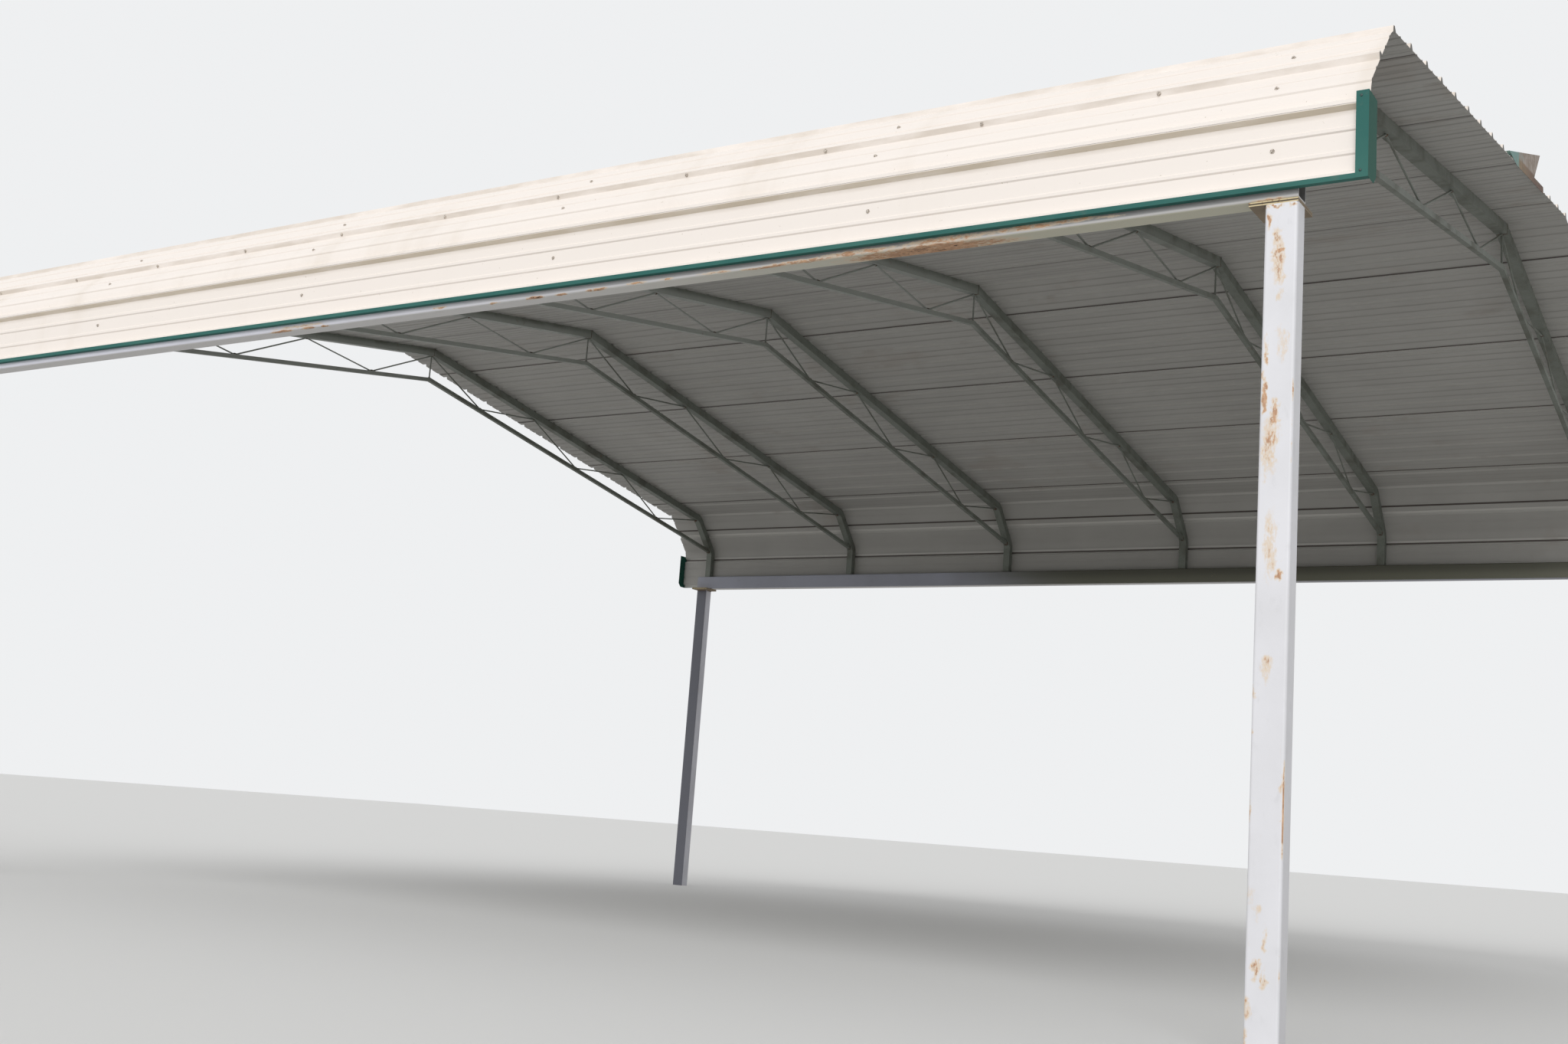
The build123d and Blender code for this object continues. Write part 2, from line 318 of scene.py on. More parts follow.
def from_nearest(f, distance, pitch):
    """Signed distance from the nearest multiple of pitch."""
    nearest = f.math("ROUND", f.math("DIVIDE", distance, pitch))
    return f.math("SUBTRACT", distance, f.math("MULTIPLY", nearest, pitch))


# Directions that tell faces apart
along_x = (1.0, 0.0, 0.0)
toward_near = (0.0, -1.0, 0.0)
downward = (0.0, 0.0, -1.0)

# Colours of the sheets, outside and inside
cream_clean = (0.89, 0.825, 0.770)
cream_dirty = (0.82, 0.750, 0.680)
cream_grime = (0.36, 0.28, 0.18)
cream_specks = (0.50, 0.43, 0.34)
# Colour of the painted shade, tinted with grime, under the eave lap
eave_shade_and_grime = (0.72, 0.62, 0.45)
back_light = (0.408, 0.400, 0.378)
back_dark = (0.376, 0.368, 0.348)
# Inside, the rib flanks and hollows are painted lighter: painted light that offsets their shade
back_flank_painted_light = (0.690, 0.678, 0.642)
back_hollow_painted_light = (0.590, 0.578, 0.548)
back_stain = (0.30, 0.25, 0.21)
# Dirt and painted shade along the seams inside
lap_dirt_and_shade = (0.050, 0.036, 0.030)

# Lines of grime on the outside, and of painted shade with grime under the eave lap:
# reach, softness, the cloud values that they fade in between, strength
rib_line = (0.004, 0.003, 0.32, 0.66, 0.34)
crease_line = (0.001, 0.002, 0.25, 0.60, 0.12)
# Painted shade with grime on the eave rib's lower flank, under the eave lap
eave_shade_line = (0.005, 0.003, 0.12, 0.50, 0.50)
drip_line = (0.003, 0.010, 0.30, 0.70, 0.12)
drip_drop = 0.012

# Softness of the ribs' folds, and the dark seams inside where the sheets lap, of dirt and painted shade
fold_soft = 0.001
seam_reach = 0.0055
seam_soft = 0.002
underside_evenness = 0.93


def grime_and_shade_line(f, distance, centre, broken, look):
    """Broken line of grime, and of painted shade at the eave lap, that runs along the sheets."""
    reach, soft, gone, full, strength = look
    return f.both(f.band(distance, centre, reach, soft), f.step(broken, gone, full), strength)


def weather_side(f, distance, broken, tone):
    """Cream baked paint with grime under the ribs and the creases, and painted shade with grime under the
    eave lap.
    """
    clouds = f.noise(0.9, detail=5.0, shift=tone)
    streaks = f.noise(5.0, detail=5.0, stretch=(1.0, 0.12, 0.12), shift=3.0)
    cream = f.mix(f.step(f.both(clouds, streaks), 0.26, 0.46), cream_clean, cream_dirty)
    past_rib = from_nearest(f, distance, rib_pitch)
    past_crease = from_nearest(f, distance, rib_pitch / 3)
    eave_flank = eave_rib * rib_pitch + rib_flank
    under_ribs = grime_and_shade_line(f, past_rib, rib_flank, broken, rib_line)
    under_creases = grime_and_shade_line(f, past_crease, crease_foot / 2 - fold_soft, broken, crease_line)
    under_eave = grime_and_shade_line(f, distance, eave_flank, broken, eave_shade_line)
    below_eave = grime_and_shade_line(f, distance, eave_flank + drip_drop, broken, drip_line)
    cream = f.mix(f.either(under_ribs, under_creases, below_eave), cream, cream_grime)
    # Painted shade under the eave lap, tinted with grime
    cream = f.mix(under_eave, cream, eave_shade_and_grime)
    specks = f.step(f.noise(75.0, detail=2.0), 0.73, 0.79)
    return f.mix(f.both(specks, 0.6), cream, cream_specks)


def back_side(f, distance, broken, tone):
    """Grey back coat, lightly stained, with painted light in rib hollows and seams of dirt and painted shade.
    """
    clouds = f.noise(1.7, detail=6.0, shift=9.0 + tone)
    grey = f.mix(f.step(clouds, 0.35, 0.65), back_light, back_dark)
    past_rib = from_nearest(f, distance, rib_pitch)
    # Painted light in the rib flanks and hollows, which offsets their shade
    for width, colour in ((rib_foot, back_flank_painted_light), (rib_crest, back_hollow_painted_light)):
        grey = f.mix(f.band(past_rib, 0.0, width / 2 - fold_soft, fold_soft), grey, colour)
    stain = f.step(f.both(f.noise(4.0, shift=21.0 + tone), f.noise(0.8, shift=5.0)), 0.30, 0.42)
    grey = f.mix(f.both(stain, 0.30), grey, back_stain)
    # Seams of dirt and painted shade where the sheets lap; at the eave rib it is painted shade in its hollow
    # too
    edges = [rib * rib_pitch - lap_upper_edge - seam_reach for rib in (*lap_ribs, haunch_rib)]
    seams = [f.band(distance, edge, seam_reach, seam_soft) for edge in (*edges, eave_rib * rib_pitch)]
    dirt = f.both(f.either(*seams), f.step(broken, 0.08, 0.36), 0.92)
    return f.mix(dirt, grey, lap_dirt_and_shade)


def evened_normal(f, out, outside):
    """Normal that inside the roof leans towards its plane, which keeps the ribs faint from below."""
    share = f.both(f.math("SUBTRACT", 1.0, outside), underside_evenness)
    normal = f.add("NewGeometry").outputs["Normal"]
    kept = f.scaled(normal, f.math("SUBTRACT", 1.0, share))
    return f.vector("NORMALIZE", f.vector("ADD", kept, f.scaled(out, f.both(share, -1.0))))


def sheet_finish(name, tone):
    """Finish of a ribbed sheet: cream outside and grey inside, told apart by the face's direction."""
    f = Finish(name)
    distance = profile_distance(f)
    out = outward(f, distance)
    front = f.math("GREATER_THAN", f.facing(out), 0.0)
    edge = f.math("GREATER_THAN", f.math("ABSOLUTE", f.facing(along_x)), 0.5)
    outside = f.either(front, edge)
    broken = f.noise(14.0, detail=6.0, stretch=(0.25, 1.0, 1.0), shift=11.0 + tone)
    inner = back_side(f, distance, broken, tone)
    outer = weather_side(f, distance, broken, tone)
    rough = f.ranged(f.noise(2.6, detail=4.0, shift=tone), 0.40, 0.58)
    pitted = f.bump(f.noise(220.0, detail=2.0), 0.0006, 0.12, evened_normal(f, out, outside))
    waves = f.noise(1.4, detail=2.0, stretch=(0.5, 1.0, 1.0), shift=2.0 + tone)
    bump = f.bump(waves, 0.015, 0.30, pitted)
    return f.link(Base_Color=f.mix(outside, inner, outer), Roughness=rough, Normal=bump)


# Colours of the trusses
zinc_dark = (0.150, 0.166, 0.143)
zinc_light = (0.205, 0.222, 0.194)
zinc_grime = (0.130, 0.134, 0.112)
zinc_rust = (0.150, 0.095, 0.060)
# Colour of the painted light on the chords' lower part
zinc_painted_light = (0.350, 0.370, 0.345)

# Where the trusses get painted light: heights on the chord, and places along Y and X
painted_light_heights = (-0.006, -0.042)
painted_light_across = (0.4, -0.4)
painted_light_along = (3.8, -0.5)


def above_slope(f):
    """Height above the chords' top, square to the slope."""
    out = f.both(f.math("ABSOLUTE", f.y), sin(slope))
    return f.math("ADD", out, f.both(f.math("SUBTRACT", f.z, ridge_top), cos(slope)))


def galvanised_finish(name):
    """Dull olive-grey zinc with faint grains, grimy, lightly rusted, with painted light on the chords' lower
    part towards the house.
    """
    f = Finish(name)
    grain = f.math("ADD", f.both(f.grains(90.0), 0.35), f.both(f.noise(9.0), 0.65))
    zinc = f.mix(grain, zinc_dark, zinc_light)
    grime = f.step(f.noise(6.0, detail=6.0, shift=4.0), 0.45, 0.7)
    zinc = f.mix(grime, zinc, zinc_grime)
    toward_house = f.both(f.step(f.y, *painted_light_across), f.step(f.x, *painted_light_along))
    # Painted light on the chords' lower part, on the near-slope trusses towards the house
    zinc = f.mix(f.both(f.step(above_slope(f), *painted_light_heights), toward_house), zinc, zinc_painted_light)
    rust = f.step(f.noise(16.0, detail=8.0, roughness=0.65, shift=7.0), 0.62, 0.72)
    colour = f.mix(f.both(rust, 0.5), zinc, zinc_rust)
    rough = f.ranged(grime, 0.55, 0.75)
    bump = f.bump(f.noise(140.0, detail=4.0), 0.0008, 0.3)
    return f.link(Base_Color=colour, Roughness=rough, Metallic=0.05, Normal=bump)


# Colours of the rust, and of the beams' undersides where they are paler, towards the house
stain_colour = (0.74, 0.54, 0.31)
speckle_dark = (0.40, 0.20, 0.110)
speckle_light = (0.64, 0.37, 0.21)
pit_colour = (0.085, 0.044, 0.026)
pale_under = (0.74, 0.73, 0.73)
pale_under_along = (0.4, 2.6)

# Rust: how ragged its patches are and how strong, and the amounts that stain, speckle and pit the paint
rust_contrast = 5.0
rust_strength = 0.95
stain_amounts = (0.16, 0.70)
speckle_amounts = (0.66, 0.98)
pit_amounts = (1.75, 2.05)
worn_edge_reach = 0.0010
worn_edge_soft = 0.0020
chalk_shade = 0.86
# Strength of the painted shade on a beam's upper part
painted_shade_strength = 0.85


def chalky_paint(f, paint, worn, run):
    """Paint worn in clouds and chalked in streaks."""
    base = f.mix(f.step(f.noise(2.2, detail=5.0), 0.35, 0.7), paint, worn)
    chalk = f.step(f.noise(26.0, detail=6.0, stretch=run, shift=6.0), 0.58, 0.72)
    return f.mix(f.both(chalk, 0.35), base, tuple(chalk_shade * part for part in worn))


def dusted_and_shaded(f, base, dust_and_shade):
    """A beam's paint, dusty towards the open end, with painted shade darkest on the beam's upper part under
    the trim.
    """
    toward_open = f.step(f.x, *dust_and_shade["along"])
    base = f.mix(f.both(toward_open, dust_and_shade["share"]), base, dust_and_shade["dust"])
    upper_part = f.step(f.z, *(beam_low.z + height for height in dust_and_shade["heights"]))
    # Painted shade on the beam's upper part, under the trim
    return f.mix(f.both(toward_open, upper_part, painted_shade_strength), base, dust_and_shade["dark"])


def rust_amount(f, run, places, warp, worn_edge):
    """Rust: specks everywhere, ragged patches at the places and a broken line down the worn edge."""
    coarse = f.both(f.noise(34.0, detail=8.0, roughness=0.7, stretch=run, shift=1.5), 0.45)
    fine = f.both(f.noise(150.0, detail=5.0, roughness=0.65, stretch=run, shift=4.0), 0.55)
    ragged = f.math("ADD", coarse, fine)
    rust = f.both(f.step(ragged, 0.50, 0.74), 0.45)
    if places:
        ragged = f.math("MULTIPLY_ADD", f.math("SUBTRACT", ragged, 0.5), rust_contrast, rust_strength)
        rust = f.either(rust, f.both(f.patches(places, warp), ragged))
    if worn_edge is not None:
        clouds = f.noise(7.0, detail=6.0, roughness=0.65, stretch=(1.0, 1.0, 0.6), shift=8.0)
        line = f.band(f.x, worn_edge, worn_edge_reach, worn_edge_soft)
        rust = f.either(rust, f.both(line, f.step(clouds, 0.47, 0.60), 1.1))
    return rust


def paint_finish(name, paints, run, places=(), warp=None, dust_and_shade=None, shaded=None, worn_edge=None):
    """White paint, dirty underneath, that has rusted through in patches, which run along the tube; beams and
    far posts can get painted shade.
    """
    f = Finish(name)
    paint, worn, under = paints
    base = chalky_paint(f, paint, worn, run)
    # A beam's paint gets dust and painted shade
    if dust_and_shade is not None:
        base = dusted_and_shaded(f, base, dust_and_shade)
        under = f.mix(f.step(f.x, *pale_under_along), pale_under, under)
    if shaded is not None:
        base = f.mix(f.step(f.facing(toward_near), 0.6, 0.9), base, shaded)
    base = f.mix(f.step(f.facing(downward), 0.55, 0.9), base, under)
    rust = rust_amount(f, run, places, warp, worn_edge)
    stain = f.step(rust, *stain_amounts)
    speckle = f.step(rust, *speckle_amounts)
    pit = f.step(rust, *pit_amounts)
    colour = f.mix(f.both(stain, 0.75), base, f.mix(0.25, stain_colour, worn))
    mottled = f.mix(f.step(f.noise(120.0, detail=6.0, stretch=run), 0.35, 0.65), speckle_dark, speckle_light)
    colour = f.mix(f.both(speckle, 0.85), colour, mottled)
    colour = f.mix(pit, colour, pit_colour)
    bump = f.bump(f.noise(170.0, detail=4.0), 0.0006, 0.25)
    bump = f.bump(speckle, 0.0008, 0.5, bump)
    return f.link(Base_Color=colour, Roughness=f.ranged(speckle, 0.42, 0.85), Normal=bump)


# Colours of the plates
plate_light = (0.70, 0.60, 0.37)
plate_dull = (0.58, 0.46, 0.27)
plate_rust = (0.24, 0.10, 0.045)
plate_seam = (0.05, 0.035, 0.025)
plate_brown = (0.20, 0.155, 0.110)
plate_tan = (0.34, 0.27, 0.19)
plate_seam_reach = 0.0020
plate_seam_soft = 0.0006


def plate_finish(name):
    """Cream-painted plate edges with rusty dots, a dark seam, and brown undersides and open-end edges."""
    f = Finish(name)
    dots = f.step(f.noise(95.0, detail=5.0, shift=3.0), 0.54, 0.66)
    cream = f.mix(f.noise(12.0), plate_light, plate_dull)
    cream = f.mix(f.both(dots, 0.85), cream, plate_rust)
    seam = f.band(f.z, plate_high.z, plate_seam_reach, plate_seam_soft)
    cream = f.mix(f.both(seam, 0.95), cream, plate_seam)
    underside = f.step(f.facing(downward), 0.3, 0.7)
    open_end = f.both(f.step(f.facing(along_x), 0.3, 0.7), 0.8)
    brown = f.mix(f.noise(20.0, detail=6.0), plate_brown, plate_tan)
    colour = f.mix(f.either(underside, open_end), cream, brown)
    bump = f.bump(f.noise(170.0, detail=4.0), 0.0006, 0.35)
    return f.link(Base_Color=colour, Roughness=0.75, Normal=bump)


# Colours of the green trims
green_fresh = (0.036, 0.138, 0.122)
green_chalked = (0.051, 0.161, 0.139)
green_dust = (0.14, 0.18, 0.15)
# Painted shade on the trims' returns
green_return_shade = (0.012, 0.078, 0.050)


def trim_finish(name):
    """Dark green baked paint, chalked and dusty, with painted shade on the faces that look along X."""
    f = Finish(name)
    chalk = f.step(f.noise(3.0, detail=6.0), 0.35, 0.7)
    green = f.mix(chalk, green_fresh, green_chalked)
    dust = f.step(f.noise(30.0, detail=6.0, shift=2.0), 0.58, 0.75)
    colour = f.mix(f.both(dust, 0.22), green, green_dust)
    # Painted shade on the faces that look along X, the returns
    on_return = f.step(f.math("ABSOLUTE", f.facing(along_x)), 0.6, 0.9)
    colour = f.mix(f.both(on_return, 0.7), colour, green_return_shade)
    bump = f.bump(f.noise(200.0, detail=2.0), 0.0004, 0.2)
    return f.link(Base_Color=colour, Roughness=0.60, Specular_IOR_Level=0.1, Normal=bump)


# Colours of the torn trim, and where they change: along Y and above the ribs
remnant_brown = (0.300, 0.205, 0.115)
remnant_dark = (0.120, 0.062, 0.042)
remnant_mottle = (0.17, 0.13, 0.085)
flap_light = (0.38, 0.325, 0.285)
flap_dark = (0.27, 0.215, 0.170)
remnant_green = (0.190, 0.335, 0.310)
remnant_moss = (0.24, 0.24, 0.19)
green_fades = (0.48, 0.36)
brown_margin = 0.15
flap_rises = (0.008, 0.020)


def remnant_finish(name):
    """Torn trim: green at its lower end, brown along the strip and pale on the bent flap."""
    f = Finish(name)
    ragged = f.math("ADD", f.y, f.both(f.noise(14.0), 0.36))
    lower_end = f.step(ragged, *(remnant_low.y + length for length in green_fades))
    toward_ridge = f.step(f.y, remnant_low.y + brown_margin, remnant_high.y - brown_margin)
    flap = f.step(above_slope(f), *(rib_height + rise for rise in flap_rises))
    mottled = f.noise(28.0, detail=7.0, roughness=0.65)
    brown = f.mix(toward_ridge, remnant_brown, remnant_dark)
    brown = f.mix(f.step(mottled, 0.46, 0.66), brown, remnant_mottle)
    pale = f.mix(f.step(mottled, 0.40, 0.60), flap_light, flap_dark)
    green = f.mix(f.step(mottled, 0.5, 0.66), remnant_green, remnant_moss)
    colour = f.mix(lower_end, f.mix(flap, brown, pale), green)
    bump = f.bump(f.noise(90.0, detail=5.0), 0.0010, 0.4)
    return f.link(Base_Color=colour, Roughness=0.7, Normal=bump)


# Rust on the near post's front: share of the width from its left edge, height, reaches and strength
near_post_marks = (
    (0.30, 2.542, 0.34, 0.008, 0.85),
    (0.86, 2.537, 0.15, 0.012, 0.95),
    (0.20, 2.490, 0.09, 0.034, 1.00),
    (0.46, 2.370, 0.22, 0.105, 0.65),
    (0.45, 2.437, 0.14, 0.042, 0.80),
    (0.46, 2.385, 0.20, 0.018, 1.15),
    (0.50, 2.320, 0.17, 0.048, 0.80),
    (0.50, 2.245, 0.11, 0.024, 0.60),
    (0.19, 2.070, 0.07, 0.052, 0.85),
    (0.65, 2.095, 0.20, 0.085, 0.45),
    (0.11, 1.940, 0.09, 0.075, 1.30),
    (0.44, 1.882, 0.15, 0.042, 1.40),
    (0.34, 1.785, 0.30, 0.098, 0.85),
    (0.20, 1.690, 0.15, 0.027, 0.40),
    (0.42, 1.480, 0.24, 0.130, 0.58),
    (0.68, 1.395, 0.08, 0.020, 0.90),
    (0.40, 1.120, 0.22, 0.040, 0.60),
    (0.02, 1.050, 0.06, 0.022, 0.70),
    (0.03, 0.930, 0.06, 0.012, 0.70),
    (0.92, 0.780, 0.07, 0.044, 0.70),
    (0.03, 0.700, 0.07, 0.056, 0.85),
    (0.97, 0.690, 0.05, 0.048, 0.60),
    (0.10, 0.470, 0.16, 0.032, 0.40),
    (0.30, 0.430, 0.17, 0.032, 0.48),
    (0.55, 0.350, 0.08, 0.044, 0.62),
    (0.30, 0.260, 0.13, 0.038, 0.85),
    (0.55, 0.240, 0.11, 0.038, 0.80),
    (0.12, 0.155, 0.11, 0.032, 0.62),
    (0.03, 0.065, 0.09, 0.048, 0.75),
)
post_mark_spread = 1.5
post_mark_depth = 0.020
post_mark_stretch = 1.35

# Rust on the near beam's lower corner: place along the beam, height above its foot, reaches and strength
near_beam_marks = (
    (1.90, 0.004, 0.30, 0.012, 1.00),
    (2.14, 0.010, 0.26, 0.016, 1.00),
    (2.48, 0.014, 0.32, 0.020, 0.95),
    (2.78, 0.018, 0.18, 0.018, 1.05),
    (2.94, 0.022, 0.16, 0.014, 0.90),
    (3.08, 0.018, 0.07, 0.011, 0.75),
    (3.60, 0.004, 0.10, 0.011, 0.90),
    (1.74, 0.002, 0.15, 0.007, 1.00),
    (1.52, 0.006, 0.11, 0.008, 0.80),
    (1.30, 0.006, 0.05, 0.007, 1.30),
    (1.16, 0.006, 0.07, 0.008, 1.30),
    (0.97, 0.002, 0.08, 0.009, 1.90),
    (0.78, 0.001, 0.04, 0.007, 1.70),
    (0.65, 0.002, 0.06, 0.008, 2.00),
    (0.43, 0.002, 0.04, 0.007, 1.20),
    (0.14, 0.012, 0.06, 0.009, 1.30),
    (-0.56, 0.000, 0.04, 0.009, 1.70),
    (-0.67, 0.002, 0.07, 0.008, 1.50),
    (-0.84, 0.000, 0.12, 0.010, 1.60),
    (-0.72, 0.013, 0.28, 0.013, 0.72),
)
beam_mark_inset = 0.003
beam_mark_depth = 0.016
beam_smear_inset = 0.040
beam_smear = ((2.39, beam_low.y + beam_smear_inset, beam_low.z), (0.52, 0.080, 0.014), 1.5)


def post_rust():
    """Centres, reaches and strengths of the near post's rust patches."""
    made = []
    for share, height, reach, rise, strength in near_post_marks:
        centre = (post_low.x + share * post_width, post_low.y, height)
        reaches = (post_mark_spread * reach * post_width, post_mark_depth, post_mark_stretch * rise)
        made.append((centre, reaches, strength))
    return made


def beam_rust():
    """Centres, reaches and strengths of the near beam's rust patches, with a smear under its open half."""
    made = []
    for x, rise, reach, height, strength in near_beam_marks:
        centre = (x, beam_low.y + beam_mark_inset, beam_low.z + rise)
        made.append((centre, (reach, beam_mark_depth, height), strength))
    return [*made, beam_smear]


# Paints of the posts and the beams, each with its worn colour and its colour underneath
near_beam_paints = ((0.740, 0.745, 0.820), (0.660, 0.665, 0.730), (0.600, 0.585, 0.470))
# The far beam's paints are darker than the near beam's, as painted shade
far_beam_shaded_paints = ((0.370, 0.385, 0.460), (0.330, 0.340, 0.400), (0.330, 0.340, 0.400))
near_post_paints = ((0.765, 0.765, 0.800), (0.695, 0.695, 0.720), (0.695, 0.695, 0.720))
# The far posts' paints are darker as painted shade, and their faces into the bay get painted shade too
far_post_shaded_paints = ((0.660, 0.665, 0.730), (0.530, 0.530, 0.575), (0.530, 0.530, 0.575))
far_post_shade = (0.150, 0.155, 0.185)
along_beam = (0.35, 1.0, 1.0)
down_post = (1.0, 1.0, 0.4)
beam_warp = (0.11, 0.0, 0.010)
post_warp = (0.050, 0.0, 0.090)
worn_edge_inset = 0.003

# Dirt and painted shade on the beams: where they start and are full along X and above the beam's foot, share
# and colours
near_dust_and_shade = {
    "along": (-1.2, 2.2),
    "heights": (0.005, 0.014),
    "share": 0.6,
    "dust": (0.52, 0.50, 0.445),
    # Painted shade of the trim on the near beam's upper part
    "dark": (0.190, 0.190, 0.190),
}
# The far beam's dust and dark colours are both painted shade, darker towards the open end
far_dust_and_shade = {
    "along": (-1.4, 0.0),
    "heights": (0.020, 0.090),
    "share": 0.95,
    "dust": (0.150, 0.150, 0.105),
    "dark": (0.075, 0.075, 0.055),
}

finishes = {
    "beam_near": paint_finish(
        "paint_beam_near", near_beam_paints, along_beam, places=beam_rust(), warp=beam_warp, dust_and_shade=near_dust_and_shade
    ),
    "beam_far": paint_finish("paint_beam_far", far_beam_shaded_paints, along_beam, dust_and_shade=far_dust_and_shade),
    "post_open_near": paint_finish(
        "paint_post_near",
        near_post_paints,
        down_post,
        places=post_rust(),
        warp=post_warp,
        worn_edge=post_high.x - worn_edge_inset,
    ),
    "post_house_near": paint_finish("paint_post_house", near_post_paints, down_post),
    "post_open_far": paint_finish("paint_post_far", far_post_shaded_paints, down_post, shaded=far_post_shade),
    "post_cap_plates": plate_finish("paint_plates"),
    "truss": galvanised_finish("galvanised_steel"),
    "bottom_trim": trim_finish("green_trim"),
    "trim_remnant": remnant_finish("torn_trim"),
}
finishes["post_house_far"] = finishes["post_open_far"]
finishes["beam_plates"] = finishes["post_cap_plates"]
finishes["end_trim"] = finishes["bottom_trim"]

tone_seed = 7
tone_reach = 20
tones = Random(tone_seed)
for name, node in sorted(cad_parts.items()):
    if name.startswith(("roof_sheet", "side_panel")):
        finish = sheet_finish("sheet_" + name, tones.uniform(0, tone_reach))
    else:
        finish = next(made for start, made in finishes.items() if name.startswith(start))
    node.data.materials.clear()
    node.data.materials.append(finish)


def piece(name, bm, finish):
    """Turns a bmesh into a piece that rides with the carport."""
    bmesh.ops.recalc_face_normals(bm, faces=bm.faces)
    mesh = bpy.data.meshes.new(name)
    bm.to_mesh(mesh)
    bm.free()
    mesh.materials.append(finish)
    made = bpy.data.objects.new(name, mesh)
    bpy.context.scene.collection.objects.link(made)
    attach(made, "root")


def ring(bm, centre, side, up, radius, count):
    """Vertices of one round cross-section, spanned by two directions."""
    turns = [2 * pi * i / count for i in range(count)]
    return [bm.verts.new(centre + radius * (cos(t) * side + sin(t) * up)) for t in turns]


def skin_rings(bm, rings, capped=True, smooth=True):
    """Faces between rings that follow each other."""
    for first, second in zip(rings, rings[1:]):
        for i in range(len(first)):
            j = (i + 1) % len(first)
            bm.faces.new((first[i], first[j], second[j], second[i])).smooth = smooth
    if capped:
        bm.faces.new(rings[0][::-1])
        bm.faces.new(rings[-1])


# Outlines of the screw's washer, its head and the rivet's head: radius and rise of each ring
washer_outline = ((0.0078, -0.0004), (0.0078, 0.0010), (0.0070, 0.0018))
head_outline = ((0.0050, 0.0016), (0.0050, 0.0056), (0.0041, 0.0064))
rivet_outline = ((0.0048, -0.0003), (0.0047, 0.0006), (0.0036, 0.0012), (0.0014, 0.0016))
round_sides = 12
hex_sides = 6


def turned(bm, place, normal, side, outline, count, smooth=True):
    """Body round a normal, made from its outline."""
    up = normal.cross(side)
    rings = [ring(bm, place + rise * normal, side, up, radius, count) for radius, rise in outline]
    skin_rings(bm, rings, smooth=smooth)


def screw(bm, place, normal, spin):
    """Hex washer-head screw: a rubber washer and a chamfered steel head."""
    side = Matrix.Rotation(spin, 3, normal) @ normal.orthogonal().normalized()
    turned(bm, place, normal, side, washer_outline, round_sides)
    turned(bm, place, normal, side, head_outline, hex_sides, smooth=False)


def rivet(bm, place, normal):
    """Low domed head of a blind rivet."""
    turned(bm, place, normal, normal.orthogonal().normalized(), rivet_outline, round_sides)


# Shapes of the welds
weld_unevenness = 0.18
bead_spacing = 0.004
bead_sides = 6
collar_count = 10
collar_swells = (0.75, 1.25)
lump_count = 7
lump_sides = 10
lump_swells = (0.85, 1.15)


def bead(bm, start, end, radius, dice):
    """Weld seam between two points: a rippled round bead."""
    start = Vector(start)
    run = Vector(end) - start
    count = max(int(run.length / bead_spacing), 1)
    forward = run.normalized()
    side = forward.orthogonal().normalized()
    rings = []
    for i in range(count + 1):
        wobble = Vector([dice.uniform(-1, 1) for _ in range(3)]) * radius * weld_unevenness
        swell = radius * (1.0 + weld_unevenness * dice.uniform(-1, 1))
        rings.append(ring(bm, start + run * i / count + wobble, side, forward.cross(side), swell, bead_sides))
    skin_rings(bm, rings)


def collar(bm, centre, axis, thick, dice):
    """Weld bead round a rod where it meets a bar."""
    side = axis.orthogonal().normalized()
    up = axis.cross(side)
    rings = []
    for i in range(collar_count):
        turn = 2 * pi * i / collar_count
        away = cos(turn) * side + sin(turn) * up
        swell = thick * dice.uniform(*collar_swells)
        rings.append(ring(bm, centre + away * collar_radius, away, axis, swell, bead_sides))
    skin_rings(bm, rings + rings[:1], capped=False)


def lump(bm, centre, axis, length, radius, dice):
    """Uneven drop of weld metal, longest along an axis and half sunk in what it joins."""
    side = axis.orthogonal().normalized()
    up = axis.cross(side)
    rings = []
    for i in range(lump_count):
        turn = pi * (i + 0.5) / lump_count
        swell = radius * sin(turn) * dice.uniform(*lump_swells)
        rings.append(ring(bm, centre - axis * length * cos(turn), side, up, swell, lump_sides))
    skin_rings(bm, rings)


# Colours of the welds, the screws and the rivets
weld_metal = (0.085, 0.078, 0.066)
weld_rust = (0.155, 0.090, 0.055)
screw_cream = (0.70, 0.64, 0.57)
screw_zinc = (0.24, 0.20, 0.165)
rivet_dark = (0.014, 0.050, 0.044)
rivet_worn = (0.060, 0.130, 0.115)


def weld_finish(name):
    """Bare weld metal gone dark and rusty."""
    f = Finish(name)
    rust = f.step(f.noise(60.0, detail=6.0, roughness=0.7), 0.35, 0.65)
    bump = f.bump(f.noise(260.0, detail=3.0), 0.0008, 0.5)
    colour = f.mix(rust, weld_metal, weld_rust)
    return f.link(Base_Color=colour, Roughness=0.8, Metallic=0.1, Normal=bump)


def screw_finish(name):
    """Painted screw heads, chipped to dull zinc."""
    f = Finish(name)
    chips = f.step(f.noise(300.0, detail=4.0), 0.45, 0.6)
    bump = f.bump(chips, 0.0003, 0.5)
    colour = f.mix(chips, screw_cream, screw_zinc)
    return f.link(Base_Color=colour, Roughness=0.55, Metallic=0.1, Normal=bump)


def rivet_finish(name):
    """Green rivet heads, dark with dirt and worn on top."""
    f = Finish(name)
    wear = f.step(f.noise(260.0, detail=4.0), 0.48, 0.66)
    bump = f.bump(wear, 0.0003, 0.4)
    return f.link(Base_Color=f.mix(wear, rivet_dark, rivet_worn), Roughness=0.45, Normal=bump)


welds = weld_finish("weld_metal")
screw_paint = screw_finish("screw_paint")

# Screws: where the eave's stitch screws start, how far apart they are, and how far screws stray
first_stitch = 3.18
stitch_pitch = 0.635
screw_wander = 0.006
stitch_wander = 0.01


